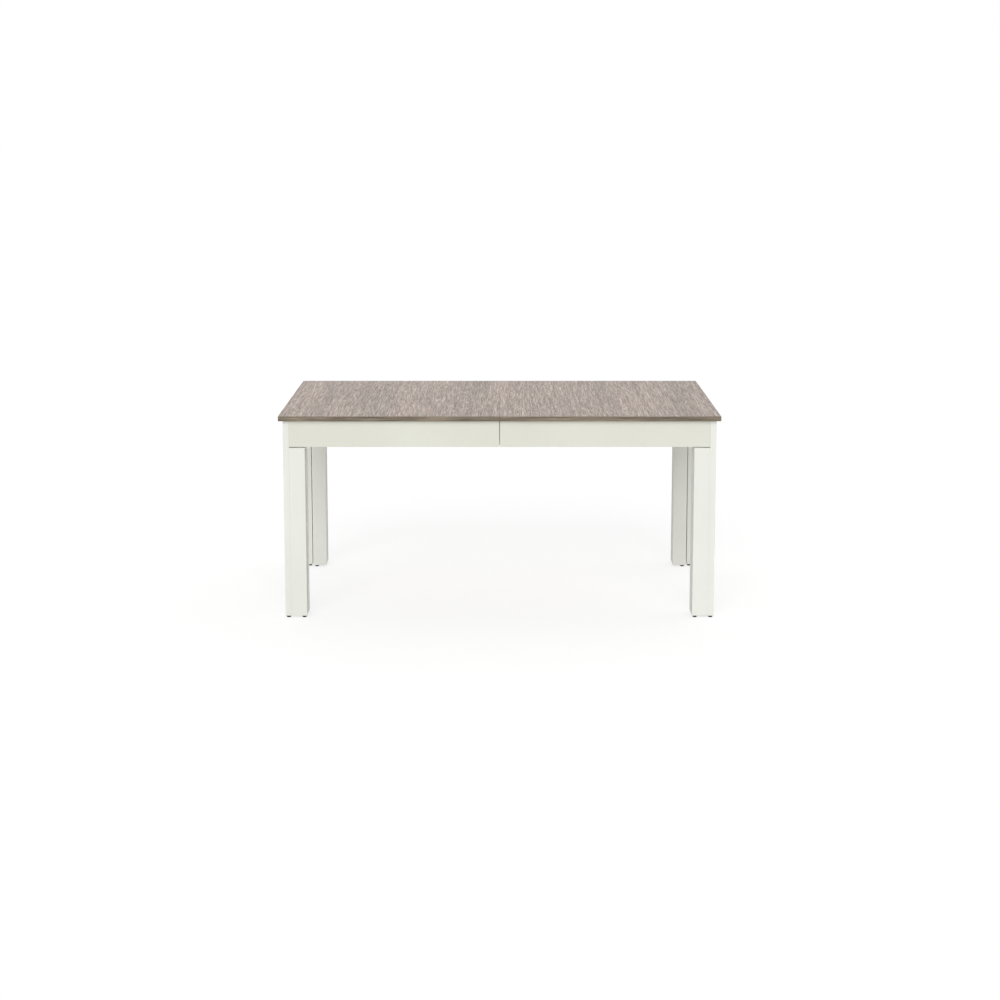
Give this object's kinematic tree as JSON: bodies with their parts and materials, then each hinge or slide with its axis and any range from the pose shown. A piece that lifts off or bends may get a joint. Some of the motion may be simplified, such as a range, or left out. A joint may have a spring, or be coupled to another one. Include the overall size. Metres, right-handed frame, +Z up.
{
  "type": "extending table",
  "caption": "Extending dining table with a woodgrain top, white aprons and L-shaped corner legs that slide apart around a fixed inner frame, with loose leaves stored inside.",
  "frame": {"origin": "on the floor, under the middle of the closed top", "axes": "+X along the table, +Y from the front to the back, +Z up"},
  "size_m": [1.62, 0.9, 0.76],
  "materials": {
    "woodgrain_laminate": "grey-brown woodgrain laminate on chipboard, matt, with a fine cross grain",
    "white_laminate": "warm white laminate on chipboard, matt",
    "beech": "bare planed beech",
    "zinc_steel": "zinc-plated steel",
    "black_plastic": "black moulded plastic",
    "nylon": "off-white nylon strip"
  },
  "bodies": {
    "inner_frame": {"inner_apron_front": "white_laminate", "inner_apron_back": "white_laminate", "inner_rail_left": "white_laminate", "inner_rail_right": "white_laminate", "inner_post_front_left": "white_laminate", "inner_post_front_right": "white_laminate", "inner_post_back_left": "white_laminate", "inner_post_back_right": "white_laminate", "inner_cross_left": "white_laminate", "inner_cross_right": "white_laminate", "slide_core_front": "beech", "slide_core_back": "beech", "leaf_batten_left": "beech", "leaf_batten_right": "beech", "leaf_lower": "woodgrain_laminate", "leaf_middle": "woodgrain_laminate", "leaf_upper": "woodgrain_laminate", "leaf_pins": "beech", "glide_strip_front": "nylon", "glide_strip_back": "nylon", "frame_brackets": "zinc_steel", "frame_screws": "zinc_steel", "inner_post_feet": "black_plastic", "stop_block_front": "beech", "stop_block_back": "beech"},
    "left_frame": {"left_top": "woodgrain_laminate", "left_apron_front": "white_laminate", "left_apron_back": "white_laminate", "left_apron_end": "white_laminate", "left_leg_front_side": "white_laminate", "left_leg_front_face": "white_laminate", "left_leg_back_side": "white_laminate", "left_leg_back_face": "white_laminate", "left_runner_front": "beech", "left_runner_back": "beech", "left_runner_stop": "beech", "left_top_pins": "beech", "left_fixing_blocks": "beech", "left_leg_feet": "black_plastic", "left_leg_dowels": "beech", "left_runner_screws": "zinc_steel"},
    "right_frame": {"right_top": "woodgrain_laminate", "right_apron_front": "white_laminate", "right_apron_back": "white_laminate", "right_apron_end": "white_laminate", "right_leg_front_side": "white_laminate", "right_leg_front_face": "white_laminate", "right_leg_back_side": "white_laminate", "right_leg_back_face": "white_laminate", "right_runner_front": "beech", "right_runner_back": "beech", "right_runner_stop": "beech", "right_top_pins": "beech", "right_fixing_blocks": "beech", "right_leg_feet": "black_plastic", "right_leg_dowels": "beech", "right_runner_screws": "zinc_steel"}
  },
  "joints": [
    {"name": "left_slide", "type": "slide", "parent": "inner_frame", "child": "left_frame", "axis": [-1, 0, 0], "range_m": [0, 0.69]},
    {"name": "right_slide", "type": "slide", "parent": "inner_frame", "child": "right_frame", "axis": [1, 0, 0], "range_m": [0, 0.69]}
  ]
}
